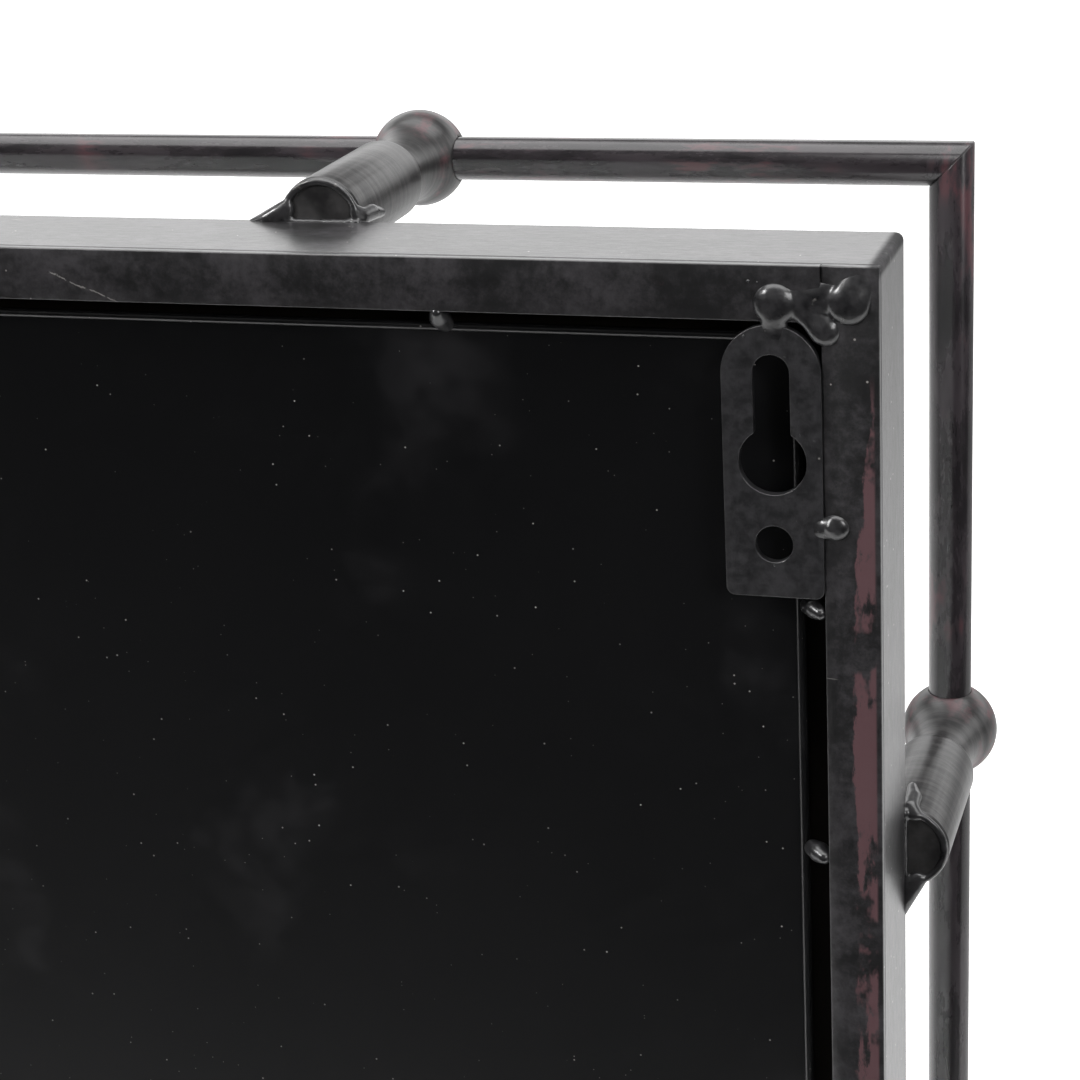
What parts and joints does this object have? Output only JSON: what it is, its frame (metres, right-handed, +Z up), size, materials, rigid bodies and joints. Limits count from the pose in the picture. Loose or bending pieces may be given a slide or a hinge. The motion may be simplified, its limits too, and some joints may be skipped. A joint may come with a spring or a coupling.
{
  "type": "wall mirror",
  "caption": "Wall mirror in a shallow welded steel frame, with a round-bar rail on turned posts and two keyhole hangers.",
  "frame": {"origin": "on the wall plane, midway between the centres of the two small screw holes of the keyhole hangers", "axes": "+Z up, +Y towards the wall and normal to it, +X to the right seen from the front"},
  "size_m": [0.5228, 0.1038, 0.7228],
  "materials": {
    "frame_paint": "satin black lacquer, worn to a mauve primer along the edges",
    "panel_paint": "smooth black lacquer with dust and fine scratches",
    "hanger_paint": "satin black lacquer over a punched plate",
    "rail_paint": "thin black lacquer with worn mauve patches",
    "post_paint": "thin black lacquer over turned steel with lathe rings",
    "weld": "lacquered weld beads",
    "glass": "clear float glass",
    "silver": "silvering",
    "board": "hardboard",
    "batten": "black-stained softwood",
    "tape": "foam glazing tape"
  },
  "bodies": {
    "root": {"frame_top": "frame_paint", "frame_right": "frame_paint", "frame_bottom": "frame_paint", "frame_left": "frame_paint", "back_bar_top": "frame_paint", "back_bar_right": "frame_paint", "back_bar_bottom": "frame_paint", "back_bar_left": "frame_paint", "glazing_tape": "tape", "mirror_glass": "glass", "mirror_silvering": "silver", "backing_board": "board", "spacer_top": "batten", "spacer_right": "batten", "spacer_bottom": "batten", "spacer_left": "batten", "back_panel": "panel_paint", "panel_tacks": "weld", "hanger_left": "hanger_paint", "hanger_right": "hanger_paint", "hanger_welds_left": "weld", "hanger_welds_right": "weld", "rod_top": "rail_paint", "rod_right": "rail_paint", "rod_bottom": "rail_paint", "rod_left": "rail_paint", "post_top_left": "post_paint", "post_top_right": "post_paint", "post_right_upper": "post_paint", "post_right_middle": "post_paint", "post_right_lower": "post_paint", "post_bottom_right": "post_paint", "post_bottom_left": "post_paint", "post_left_lower": "post_paint", "post_left_middle": "post_paint", "post_left_upper": "post_paint", "post_welds": "weld"}
  },
  "joints": []
}
